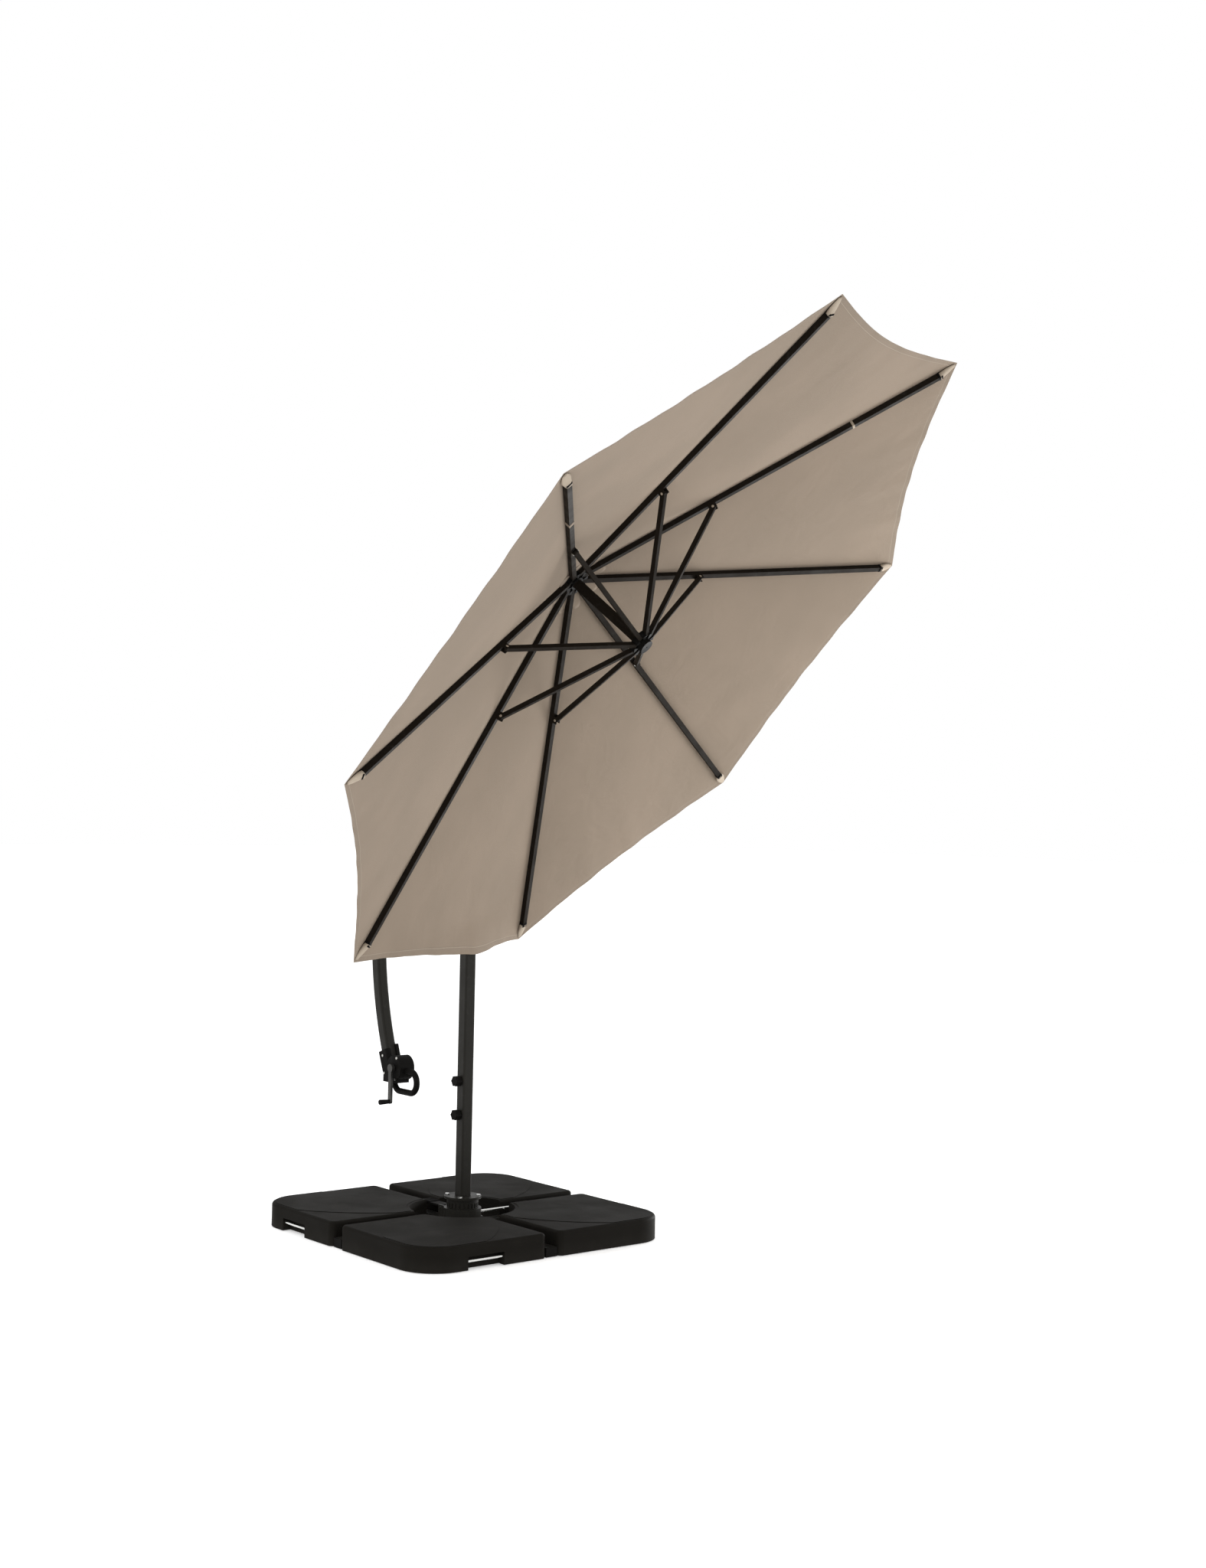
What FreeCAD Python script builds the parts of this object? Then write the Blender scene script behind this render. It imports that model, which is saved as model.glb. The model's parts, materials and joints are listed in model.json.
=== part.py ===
import FreeCAD, Part
import math
import os

import Sketcher
from FreeCAD import Placement, Rotation, Vector

# Cantilever patio umbrella on a weighted cross base. Millimetres, +Z up. The origin is on the ground
# under the mast, and the boom lies in the XZ plane with the canopy on the +X side.

DIMENSIONS = [
    # base
    ("base_size", 1010, "width of the base across two plates"),
    ("plate_gap", 51, "gap between two plates, where a cross bar lies"),
    ("plate_height", 80, ""),
    ("plate_wall", 4, "plastic wall of a plate's shell"),
    ("plate_corner", 130, "radius of a plate's outer corner"),
    ("plate_gap_corner", 20, "radius of the two corners beside the gaps"),
    ("plate_edge", 10, "radius along a plate's top edge"),
    ("hub_opening", 180, "radius cut out of the plates round the hub"),
    ("leaf_rise", 1.5, "height of the leaf-shaped panel on a plate"),
    ("leaf_radius", 620, "radius of the two arcs that bound the leaf"),
    ("leaf_offset", 440, "distance of those arcs' centres from the plate's diagonal"),
    ("core_height", 44, "concrete ballast in a plate"),
    ("handle_width", 140, "width of a plate's hand recess"),
    ("handle_height", 42, "height of the recess, from the ground"),
    ("handle_depth", 30, ""),
    ("handle_bar", 9, "diameter of the bar across the recess"),
    ("handle_bar_rise", 27, "height of the bar's axis"),
    ("bar_width", 45, "cross bar section"),
    ("bar_height", 30, ""),
    ("bar_wall", 2.5, ""),
    ("bar_end", 493, "half length of a cross bar without its caps"),
    ("cap_thick", 5, "visible thickness of a cross bar's end cap"),
    # swivel
    ("flange_radius", 88, "bolted flange of the swivel housing"),
    ("flange_thick", 6, ""),
    ("flange_bolt_ring", 75, "radius of the four bolts of that flange"),
    ("housing_radius", 64, ""),
    ("housing_top", 80, ""),
    ("spigot_radius", 30, "turning spigot of the mast foot"),
    ("running_gap", 0.05, "radial clearance of a shaft in its bore"),
    ("neck_radius", 54, "notched ring of the mast foot"),
    ("foot_flange_radius", 63.5, ""),
    ("foot_flange_base", 112, ""),
    ("foot_flange_top", 120, "where the mast tube stands"),
    ("foot_bolt_ring", 54, "radius of the four bolts of the mast foot"),
    ("notch_count", 24, "lock notches round the neck"),
    ("pedal_pivot_out", 96, "distance of the pedal's pin from the mast axis"),
    ("pedal_pivot_rise", 66, ""),
    ("pedal_width", 40, ""),
    ("pedal_reach", 225, "outer end of the pedal from the mast axis"),
    ("rod_rise", 58, "height of the swivel lock rod"),
    ("rod_radius", 4.5, ""),
    ("rod_end", 196, ""),
    # mast
    ("mast_side", 42, "square section of the mast"),
    ("mast_wall", 2, ""),
    ("mast_corner", 6, ""),
    ("mast_joint", 610, "height of the seam between the two mast tubes"),
    ("mast_insert", 290, "length of the upper tube inside the lower one"),
    ("mast_top", 1970, ""),
    ("knob_low", 396, "heights of the two mast knobs"),
    ("knob_high", 511, ""),
    ("knob_radius", 18.5, ""),
    ("knob_thick", 22, ""),
    ("head_knob_radius", 30, ""),
    # boom
    ("arc_out", 667, "centre of the boom's arc, out from the mast"),
    ("arc_rise", 1005, "height of that centre"),
    ("arc_radius", 1222, "radius of the boom's centreline"),
    ("boom_deep", 44, "boom section along its radius"),
    ("boom_wide", 40, "boom section across"),
    ("boom_corner", 8, ""),
    ("boom_wall", 1.8, ""),
    ("slide_gap", 0.3, "clearance between the boom and the head"),
    ("tip_angle", 102.8, "where the boom ends at the canopy, from +X towards +Z"),
    ("head_angle", 123.1, "where the boom crosses the mast axis"),
    ("tail_angle", 203.5, "where the boom ends at the handle"),
    # winch and handle
    ("drum_out", -397, "winch shaft, out from the mast"),
    ("drum_rise", 512, ""),
    ("drum_radius", 18, ""),
    ("drum_cover", 44, "radius of the winch cover"),
    ("cover_half", 30, "half width of the winch cover"),
    ("crank_length", 118, "from the winch shaft to the peg"),
    ("peg_length", 40, ""),
    # tilt joint and canopy
    ("axis_angle", 23.1, "slope of the side tilt axis"),
    ("boom_to_axis", 80, "from the boom's end to the middle of the tilt joint"),
    ("pin_radius", 12, "tilt pin of the knuckle"),
    ("barrel_radius", 22, ""),
    ("barrel_half", 30, ""),
    ("hang_drop", 70, "from the tilt axis to the rib pivots"),
    ("canopy_tilt", 46.2, "stored tilt of the canopy in the boom's plane"),
    ("side_tilt", 20.2, "stored tilt of the canopy about the tilt axis"),
    ("rib_count", 8, ""),
    ("pivot_ring", 34, "radius of the rib pivots and of the strut pivots"),
    ("crown_radius", 46, ""),
    ("runner_radius", 42, ""),
    ("hub_half", 12, "half height of crown and runner"),
    ("core_radius", 24, "bottom of the rib slots"),
    ("tube_radius", 17, "runner tube"),
    ("tube_bore", 14, ""),
    ("canopy_radius", 1350, "centre to a corner of the canopy"),
    ("rib_length", 1315, ""),
    ("rib_wide", 18, ""),
    ("rib_deep", 18, ""),
    ("rib_wall", 1.5, ""),
    ("rib_slope", 17.2, "slope of an open rib"),
    ("strut_length", 474.2, "from the rib's joint to the runner, and from the crown to that joint"),
    ("strut_wide", 14, ""),
    ("strut_deep", 16, ""),
    ("joint_drop", 18, "strut joint below the rib's centreline"),
    ("joint_pin", 2.5, ""),
    ("fabric_thick", 1.2, ""),
    ("fabric_rise", 11.4, "underside of the fabric above the rib's centreline"),
    ("fabric_opening", 50, "radius of the opening round the crown"),
    ("hem_sag", 70, "how far the hem curves in between two corners"),
    ("hem_clearance", 3, "gap between the mast and the hem that hangs against it"),
    ("mast_panel", 5, "the panel that hangs against the mast"),
]

doc = FreeCAD.newDocument("PatioUmbrella")
sheet = doc.addObject("Spreadsheet::Sheet", "Dimensions")


class Size(float):
    """A length from the sheet: its number, and the expression that a property is bound to."""

    def __new__(cls, number, text):
        size = super().__new__(cls, number)
        size.text = text
        return size

    def __add__(self, other):
        return Size(float(self) + float(other), f"({self.text} + {text_of(other)})")

    def __radd__(self, other):
        return Size(float(self) + float(other), f"({text_of(other)} + {self.text})")

    def __sub__(self, other):
        return Size(float(self) - float(other), f"({self.text} - {text_of(other)})")

    def __rsub__(self, other):
        return Size(float(other) - float(self), f"({text_of(other)} - {self.text})")

    def __mul__(self, other):
        return Size(float(self) * float(other), f"({self.text} * {text_of(other)})")

    __rmul__ = __mul__

    def __truediv__(self, other):
        return Size(float(self) / float(other), f"({self.text} / {text_of(other)})")

    def __neg__(self):
        return Size(-float(self), f"(0 - {self.text})")


def text_of(value):
    return value.text if isinstance(value, Size) else f"{float(value):.6f}"


def fill_sheet():
    """Writes the driving dimensions and returns them by name."""
    sizes = {}
    for row, (alias, number, note) in enumerate(DIMENSIONS, start=1):
        sheet.set(f"A{row}", alias)
        sheet.set(f"B{row}", str(number))
        sheet.set(f"C{row}", note)
        sheet.setAlias(f"B{row}", alias)
        sizes[alias] = Size(number, f"Dimensions.{alias}")
    doc.recompute()
    return sizes


d = fill_sheet()
X, Y, Z = Vector(1, 0, 0), Vector(0, 1, 0), Vector(0, 0, 1)
sub_parts = []


# ---- helpers -------------------------------------------------------------------------------------
def bind(obj, **sizes):
    """Sets each property, bound to the sheet where its value came from there."""
    for name, value in sizes.items():
        if isinstance(value, Size):
            obj.setExpression(name, value.text)
        else:
            setattr(obj, name, float(value))
    return obj


def put(obj, at, turn=None):
    """Places an object, with each coordinate bound to the sheet where it came from there."""
    obj.Placement = Placement(Vector(*(float(v) for v in at)), turn or Rotation())
    for axis, value in zip("xyz", at):
        if isinstance(value, Size):
            obj.setExpression(f"Placement.Base.{axis}", value.text)
    return obj


def block(name, size, centre):
    """A box of three sizes about its centre."""
    box = bind(doc.addObject("Part::Box", name), Length=size[0], Width=size[1], Height=size[2])
    return put(box, [c - s / 2 for c, s in zip(centre, size)])


def rod(name, radius, length, start=(0, 0, 0), along=Z):
    """A cylinder from its start point along a direction."""
    cylinder = bind(doc.addObject("Part::Cylinder", name), Radius=radius, Height=length)
    return put(cylinder, start, Rotation(Z, along))


def fuse(name, *shapes):
    obj = doc.addObject("Part::MultiFuse", name)
    obj.Shapes = list(shapes)
    obj.Refine = True
    return obj


def common(name, *shapes):
    obj = doc.addObject("Part::MultiCommon", name)
    obj.Shapes = list(shapes)
    return obj


def cut(name, base, *tools):
    obj = doc.addObject("Part::Cut", name)
    obj.Base = base
    obj.Tool = tools[0] if len(tools) == 1 else group(f"{name}_tools", *tools)
    return obj


def group(name, *shapes):
    """Several solids as one object."""
    obj = doc.addObject("Part::Compound", name)
    obj.Links = list(shapes)
    return obj


def soften(name, base, radius, wanted):
    """Rounds those edges of a shape that the test picks."""
    doc.recompute()
    obj = doc.addObject("Part::Fillet", name)
    obj.Base = base
    picked = [n for n, e in enumerate(base.Shape.Edges, start=1) if wanted(e)]
    obj.Edges = [(n, float(radius), float(radius)) for n in picked]
    return obj


def upright(edge):
    """True for a straight edge along Z."""
    return isinstance(edge.Curve, Part.Line) and abs(edge.Curve.Direction.z) > 0.999


def feature(name, shape):
    obj = doc.addObject("Part::Feature", name)
    obj.Shape = shape
    return obj


def sub_part(label, obj, placement=None):
    """Names a finished piece and, if given, moves it as a whole."""
    obj.Label = label
    if placement:
        obj.Placement = placement
    sub_parts.append(obj)
    return obj


def copy(name, source, placement):
    """The same piece again, somewhere else."""
    obj = group(name, source)
    obj.Placement = placement
    return obj


def section_sketch(body, name, plane, width, height, corner):
    """A rounded rectangle about the origin of one of the body's planes, with its sizes bound."""
    sketch = body.newObject("Sketcher::SketchObject", name)
    sketch.AttachmentSupport = [(next(f for f in body.Origin.OriginFeatures if f.Role == plane), "")]
    sketch.MapMode = "FlatFace"
    w, h, r = float(width) / 2, float(height) / 2, float(corner)
    corners = [(w - r, h - r, 0), (r - w, h - r, 90), (r - w, r - h, 180), (w - r, r - h, 270)]
    for x, y, start in corners:
        circle = Part.Circle(Vector(x, y, 0), Z, r)
        sketch.addGeometry(Part.ArcOfCircle(circle, math.radians(start), math.radians(start + 90)))
    for n in range(4):
        here, there = sketch.Geometry[n].EndPoint, sketch.Geometry[(n + 1) % 4].StartPoint
        sketch.addGeometry(Part.LineSegment(here, there))
    for n in range(4):
        sketch.addConstraint(Sketcher.Constraint("Tangent", n, 2, 4 + n, 1))
        sketch.addConstraint(Sketcher.Constraint("Tangent", 4 + n, 2, (n + 1) % 4, 1))
    for n, way in ((4, "Horizontal"), (5, "Vertical"), (6, "Horizontal"), (7, "Vertical")):
        sketch.addConstraint(Sketcher.Constraint(way, n))
    for n in range(3):
        sketch.addConstraint(Sketcher.Constraint("Equal", n, n + 1))
    sketch.addConstraint(Sketcher.Constraint("Symmetric", 0, 3, 2, 3, -1, 1))
    driving = (
        ("corner", Sketcher.Constraint("Radius", 0, r), corner),
        ("width", Sketcher.Constraint("DistanceX", 6, 1, 4, 1, 2 * w - 2 * r), None),
        ("height", Sketcher.Constraint("DistanceY", 7, 1, 5, 1, 2 * h - 2 * r), None),
    )
    spans = {"width": width - 2 * corner, "height": height - 2 * corner}
    for label, constraint, size in driving:
        index = sketch.addConstraint(constraint)
        sketch.renameConstraint(index, label)
        sketch.setExpression(f"Constraints.{label}", text_of(size if size is not None else spans[label]))
    return sketch


def pad(body, name, sketch, length):
    step = body.newObject("PartDesign::Pad", name)
    step.Profile = sketch
    bind(step, Length=length)
    return step


def square_tube(name, side, wall, corner, length, base):
    """A square tube standing on its base height, as two pads: outside, then a pocket for the bore."""
    body = doc.addObject("PartDesign::Body", name)
    outer = section_sketch(body, f"{name}_outside", "XY_Plane", side, side, corner)
    pad(body, f"{name}_pad", outer, length)
    inner = section_sketch(
        body, f"{name}_inside", "XY_Plane", side - 2 * wall, side - 2 * wall, corner - wall
    )
    doc.recompute()
    bore = body.newObject("PartDesign::Pocket", f"{name}_bore")
    bore.Profile = inner
    bore.Reversed = True
    bind(bore, Length=length)
    body.Placement = Placement(Vector(0, 0, float(base)), Rotation())
    return body


# ---- shared geometry of the boom's arc and the canopy's frame ------------------------------------
arc_centre = Vector(float(d["arc_out"]), 0, float(d["arc_rise"]))


def on_arc(angle, radius=None):
    """The point at an angle from +X towards +Z about the arc's centre."""
    r = float(d["arc_radius"] if radius is None else radius)
    a = math.radians(float(angle))
    return arc_centre + Vector(r * math.cos(a), 0, r * math.sin(a))


def arc_section(deep, wide, corner):
    """The boom's rounded rectangle as a face in the plane of the arc's axis, at angle 0."""
    r, w, h, c = float(d["arc_radius"]), float(deep) / 2, float(wide) / 2, float(corner)
    if c <= 0:
        points = [Vector(r + i * w, j * h, 0) for i, j in ((1, 1), (-1, 1), (-1, -1), (1, -1))]
        return Part.Face(Part.makePolygon(points + points[:1]))
    edges = []
    for i, j, start in ((1, 1, 0), (-1, 1, 90), (-1, -1, 180), (1, -1, 270)):
        centre = Vector(r + i * (w - c), j * (h - c), 0)
        edges.append(Part.makeCircle(c, centre, Z, start, start + 90))
    ends = [(e.Vertexes[0].Point, e.Vertexes[-1].Point) for e in edges]
    sides = [Part.makeLine(ends[n][1], ends[(n + 1) % 4][0]) for n in range(4)]
    return Part.Face(Part.Wire([e for pair in zip(edges, sides) for e in pair]))


def arc_bar(deep, wide, corner, start, end):
    """A bar that follows the boom's arc between two angles."""
    face = arc_section(deep, wide, corner)
    face.translate(Vector(arc_centre.x, 0, arc_centre.z))
    face.rotate(arc_centre, Y, -float(start))
    return face.revolve(arc_centre, -Y, float(end) - float(start))


tilt_axis = Rotation(Y, -float(d["axis_angle"])).multVec(X)
tilt_centre = on_arc(d["tip_angle"]) + tilt_axis * float(d["boom_to_axis"])
tilt_turn = Rotation(tilt_axis, float(d["side_tilt"])) * Rotation(Y, -float(d["canopy_tilt"]))
# The canopy's frame: its origin amid the rib pivots, its z axis up the shaft, its x axis along rib 1.
canopy = Placement(tilt_centre, tilt_turn) * Placement(Vector(0, 0, -float(d["hang_drop"])), Rotation())

# Slope of the line from a rib's pivot to its strut joint, and where that joint is in the rib's frame.
joint_along = math.sqrt(float(d["strut_length"]) ** 2 - float(d["joint_drop"]) ** 2)
joint_lean = math.degrees(math.asin(float(d["joint_drop"]) / float(d["strut_length"])))
joint_slope = float(d["rib_slope"]) + joint_lean
runner_drop = 2 * float(d["strut_length"]) * math.sin(math.radians(joint_slope))


def rib_frame(n):
    """The frame of one rib: origin on its pivot, x along the rib, z away from the ground."""
    turn = Placement(Vector(), Rotation(Z, 360 / float(d["rib_count"]) * n))
    out = Placement(Vector(float(d["pivot_ring"]), 0, 0), Rotation(Y, float(d["rib_slope"])))
    return canopy * turn * out


def strut_frame(n):
    """The frame of one strut: origin on its joint with the rib, x towards the runner."""
    joint = Vector(joint_along, 0, -float(d["joint_drop"]))
    swing = 180 - joint_slope - float(d["rib_slope"])
    return rib_frame(n) * Placement(joint, Rotation(Y, swing))


# ---- base ----------------------------------------------------------------------------------------
def cross_bars():
    """Two steel tubes with a half lap where they cross, and their end caps."""
    width, height, wall, end = d["bar_width"], d["bar_height"], d["bar_wall"], d["bar_end"]
    for label, along_x in (("cross_bar_a", True), ("cross_bar_b", False)):
        size = [2 * end, width, height]
        bore = [2 * end, width - 2 * wall, height - 2 * wall]
        lap = [width + 0.4, width, height / 2]
        if not along_x:
            size[:2], bore[:2], lap[:2] = size[1::-1], bore[1::-1], lap[1::-1]
        lap_centre = height * (0.75 if along_x else 0.25)
        tube = cut(f"{label}_tube", block(f"{label}_outside", size, (0, 0, height / 2)),
                   block(f"{label}_bore", bore, (0, 0, height / 2)))
        sub_part(label, cut(f"{label}_lapped", tube, block(f"{label}_lap", lap, (0, 0, lap_centre))))
    caps = []
    plate = block("cap_plate", (d["cap_thick"], width, height), (end + d["cap_thick"] / 2, 0, height / 2))
    plug_size = (20, width - 2 * wall, height - 2 * wall)
    plug = block("cap_plug", plug_size, (end - 10, 0, height / 2))
    cap = fuse("end_cap", plate, plug)
    for n in range(4):
        caps.append(copy(f"end_cap_{n}", cap, Placement(Vector(), Rotation(Z, 90 * n))))
    sub_part("cross_bar_caps", group("cross_bar_cap_set", *caps))


def plate_blank(name, inset, bottom, top):
    """A plate's outline between two heights, drawn in by an inset, in the quadrant +X -Y."""
    half_gap, half = d["plate_gap"] / 2, d["base_size"] / 2
    side = half - half_gap - 2 * inset
    middle = half_gap + (half - half_gap) / 2
    body = block(f"{name}_block", (side, side, top - bottom), (middle, -middle, (top + bottom) / 2))
    far, near = float(half - inset), float(half_gap + inset)

    def at(edge, x, y):
        point = edge.Vertexes[0].Point
        return upright(edge) and abs(point.x - x) < 1 and abs(point.y - y) < 1

    big = d["plate_corner"] - inset
    small = d["plate_gap_corner"] - inset
    body = soften(f"{name}_corner", body, big, lambda e: at(e, far, -far))
    body = soften(f"{name}_ends", body, small, lambda e: at(e, far, -near) or at(e, near, -far))
    return cut(name, body, rod(f"{name}_hub", d["hub_opening"] + inset, top + 10, (0, 0, -5)))


def plate_template():
    """One ballast plate: its shell, its concrete core and its handle bar."""
    height, wall = d["plate_height"], d["plate_wall"]
    outside = plate_blank("plate_outside", 0 * wall, 0 * wall, height)
    top = float(height)
    outside = soften("plate_rounded", outside, d["plate_edge"],
                     lambda e: e.BoundBox.ZMin > top - 0.1 and e.BoundBox.XMax > 185)
    spread = float(d["leaf_offset"]) / math.sqrt(2)
    middle = float(d["base_size"]) * 0.28
    arcs = []
    for n, way in enumerate((1, -1)):
        centre = (middle + way * spread, -middle + way * spread, height)
        arcs.append(rod(f"leaf_arc_{n}", d["leaf_radius"], d["leaf_rise"], centre))
    leaf = common("leaf", plate_blank("leaf_area", d["plate_edge"] + 1, height, height + d["leaf_rise"]), *arcs)
    hollow = plate_blank("plate_hollow", wall, 0 * wall - 1, height - wall)
    depth, wide, high = d["handle_depth"], d["handle_width"], d["handle_height"]
    side = d["base_size"] / 2
    middle_y = -(d["base_size"] / 4 + d["plate_gap"] / 4)
    pocket = block("pocket", (depth + wall, wide + 2 * wall, high + wall),
                   (side - (depth + wall) / 2, middle_y, (high + wall) / 2))
    recess = block("recess", (depth + 10, wide, high + 10), (side - depth / 2 + 5, middle_y, high / 2 - 5))
    shell = fuse("shell_walls", cut("shell_open", outside, hollow), common("pocket_in", pocket, outside), leaf)
    shell = cut("shell", shell, recess)
    clear = block("pocket_clear", (depth + 2 * wall, wide + 4 * wall, high + 4 * wall),
                  (side - depth / 2, middle_y, high / 2))
    core = cut("core", plate_blank("core_blank", wall + 1, 0 * wall + 1, d["core_height"]), clear)
    bar_start = (side - 10, middle_y - wide / 2, d["handle_bar_rise"])
    return shell, core, rod("handle_bar", d["handle_bar"] / 2, wide, bar_start, Y)


def base_plates():
    """Four plates, each a quarter turn from the last."""
    shell, core, bar = plate_template()
    cores, bars = [], []
    for n, side in enumerate(("front", "right", "rear", "left")):
        turn = Placement(Vector(), Rotation(Z, 90 * n))
        sub_part(f"base_plate_{side}", copy(f"plate_{side}", shell, turn))
        cores.append(copy(f"core_{side}", core, turn))
        bars.append(copy(f"bar_{side}", bar, turn))
    sub_part("plate_cores", group("core_set", *cores))
    sub_part("plate_handles", group("handle_set", *bars))


def swivel_base():
    """The housing that is bolted to the cross bars, with its bolts and the pedal's pin."""
    bottom, top = d["bar_height"], d["housing_top"]
    flange_top = bottom + d["flange_thick"]
    flange = rod("flange", d["flange_radius"], d["flange_thick"], (0, 0, bottom))
    drum = rod("housing_drum", d["housing_radius"], top - bottom, (0, 0, bottom))
    out, rise = d["pedal_pivot_out"], d["pedal_pivot_rise"]
    ears = []
    for n, way in enumerate((1, -1)):
        ear = block(f"ear_{n}", (52, 7, rise + 9 - bottom), (-out + 17, way * (d["pedal_width"] / 2 + 4.3),
                                                             (rise + 9 + bottom) / 2))
        ears.append(ear)
    housing = fuse("housing_solid", flange, drum, *ears)
    bore = rod("housing_bore", d["spigot_radius"] + d["running_gap"], 100, (0, 0, flange_top))
    pin_hole = rod("pin_hole", 4, 80, (-out, -40, rise), Y)
    thread = rod("rod_thread", d["rod_radius"] + d["running_gap"], 60, (0, 25, d["rod_rise"]), Y)
    pedal_well = block("pedal_well", (34, d["pedal_width"] + 2, 40), (-out + 25 - 7, 0, rise + 8))
    ring = d["flange_bolt_ring"]
    bolts, holes = [], []
    for n in range(4):
        quarter = Placement(Vector(), Rotation(Z, 90 * n))
        hole = rod(f"base_hole_{n}", 4.5, 40, (ring, 0, bottom - 3))
        holes.append(copy(f"base_hole_at_{n}", hole, quarter))
        head = fuse(f"base_bolt_{n}", hexagon(f"base_head_{n}", 8, 6, (ring, 0, flange_top)),
                    rod(f"base_shank_{n}", 4, 14, (ring, 0, flange_top - 14)))
        bolts.append(copy(f"base_bolt_at_{n}", head, quarter))
    sub_part("swivel_housing", cut("housing", housing, bore, pin_hole, thread, pedal_well))
    pin_length = d["pedal_width"] + 2 * 7 + 5
    pin = rod("pedal_pin", 3.95, pin_length, (-out, -(pin_length / 2), rise), Y)
    return bolts, pin, holes


def hexagon(name, half, thick, at):
    """A hexagonal bolt head, half its width across flats."""
    prism = doc.addObject("Part::Prism", name)
    prism.Polygon = 6
    bind(prism, Circumradius=half / math.cos(math.pi / 6), Height=thick)
    return put(prism, at)


def base_hardware():
    bolts, pin, holes = swivel_base()
    housing = doc.getObject("housing")
    housing.Tool = group("housing_all_tools", housing.Tool, *holes)
    for label in ("cross_bar_a_lapped", "cross_bar_b_lapped"):
        bar = doc.getObject(label)
        bar.Tool = group(f"{label}_all_tools", bar.Tool, *[copy(f"{label}_{h.Name}", h, Placement()) for h in holes])
    sub_part("base_fasteners", group("base_fastener_set", *bolts, pin))


def foot_pedal():
    """The sprung pedal that frees the swivel: a ribbed pad, its barrel and the pawl's nose."""
    out, rise, width, reach = d["pedal_pivot_out"], d["pedal_pivot_rise"], d["pedal_width"], d["pedal_reach"]
    pieces = [rod("pedal_barrel", 8, width, (-out, -(width / 2), rise), Y)]
    length = reach - out
    arm = block("pedal_arm", (length, width, 6), (-out - length / 2, 0, rise + 3))
    pieces.append(arm)
    for n in range(6):
        grip = block(f"pedal_grip_{n}", (4, width, 3), (-reach + 8 + 9 * n, 0, rise + 7))
        pieces.append(grip)
    nose = block("pedal_nose", (28, 12, 8), (-out + 14, 0, rise + 3))
    pieces.append(nose)
    tip = block("pedal_tip", (8, 6, 16), (-out + 24, 0, rise + 15))
    pieces.append(tip)
    lever = soften("pedal_lever", fuse("pedal_solid", *pieces), 2,
                   lambda e: upright(e) and e.BoundBox.XMax < -float(reach) + 1)
    bore = rod("pedal_bore", 4, width + 10, (-out, -(width / 2) - 5, rise), Y)
    sub_part("foot_pedal", cut("pedal", lever, bore))


def swivel_lock_rod():
    """The round rod that clamps the swivel, with a flattened grip."""
    rise, radius, end = d["rod_rise"], d["rod_radius"], d["rod_end"]
    shaft = rod("rod_shaft", radius, end - 36, (0, 36, rise), Y)
    paddle = soften("rod_paddle", block("rod_flat", (20, 26, 6), (0, end - 11, rise)), 2.5, upright)
    sub_part("swivel_lock_rod", fuse("lock_rod", shaft, paddle))


# ---- mast ----------------------------------------------------------------------------------------
def mast_foot():
    """The turning foot: a spigot in the housing, a notched neck, a flange and a plug in the mast."""
    spigot_base = d["bar_height"] + d["flange_thick"] + 1
    neck_base = d["housing_top"] + 0.5
    spigot = rod("spigot", d["spigot_radius"], neck_base - spigot_base, (0, 0, spigot_base))
    neck = rod("neck", d["neck_radius"], d["foot_flange_base"] - neck_base, (0, 0, neck_base))
    thick = d["foot_flange_top"] - d["foot_flange_base"]
    flange = rod("foot_flange", d["foot_flange_radius"], thick, (0, 0, d["foot_flange_base"]))
    inside = d["mast_side"] - 2 * d["mast_wall"] - 0.4
    plug = block("foot_plug", (inside, inside, 70), (0, 0, d["foot_flange_top"] + 35))
    plug = soften("foot_plug_round", plug, 4, upright)
    notches = []
    count = int(d["notch_count"])
    for n in range(count):
        notch = block(f"notch_{n}", (6, 7, 16), (d["neck_radius"], 0, neck_base + 10))
        notches.append(copy(f"notch_at_{n}", notch, Placement(Vector(), Rotation(Z, 360 / count * n))))
    foot = cut("foot", fuse("foot_solid", spigot, neck, flange, plug), *notches)
    sub_part("mast_foot", foot)
    bolts = []
    for n in range(4):
        at = (d["foot_bolt_ring"], 0, d["foot_flange_top"])
        bolt = hexagon(f"foot_head_{n}", 7, 5, at)
        bolts.append(copy(f"foot_head_at_{n}", bolt, Placement(Vector(), Rotation(Z, 45 + 90 * n))))
    return bolts


def mast_tubes():
    """Two square tubes. The upper one has a narrower end that stands in the lower one."""
    side, wall, corner = d["mast_side"], d["mast_wall"], d["mast_corner"]
    base, joint, top = d["foot_flange_top"], d["mast_joint"], d["mast_top"]
    lower = square_tube("lower_tube", side, wall, corner, joint - base, base)
    studs = [rod(f"stud_hole_{n}", 4.2, 20, (0, -(side / 2) - 10, rise), Y)
             for n, rise in enumerate((d["knob_low"], d["knob_high"]))]
    sub_part("mast_lower_tube", cut("lower_tube_drilled", lower, *studs))
    insert_side = side - 2 * wall - 0.4
    upper = square_tube("upper_tube", side, wall, corner, top - joint, joint)
    insert = square_tube("upper_insert", insert_side, wall, corner - wall, d["mast_insert"] + 20,
                         joint - d["mast_insert"])
    screw_holes = head_screw_holes("mast")
    sub_part("mast_upper_tube", cut("upper_tube_drilled", fuse("upper_tubes", upper, swage_ring(), insert),
                                    *screw_holes))


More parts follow.
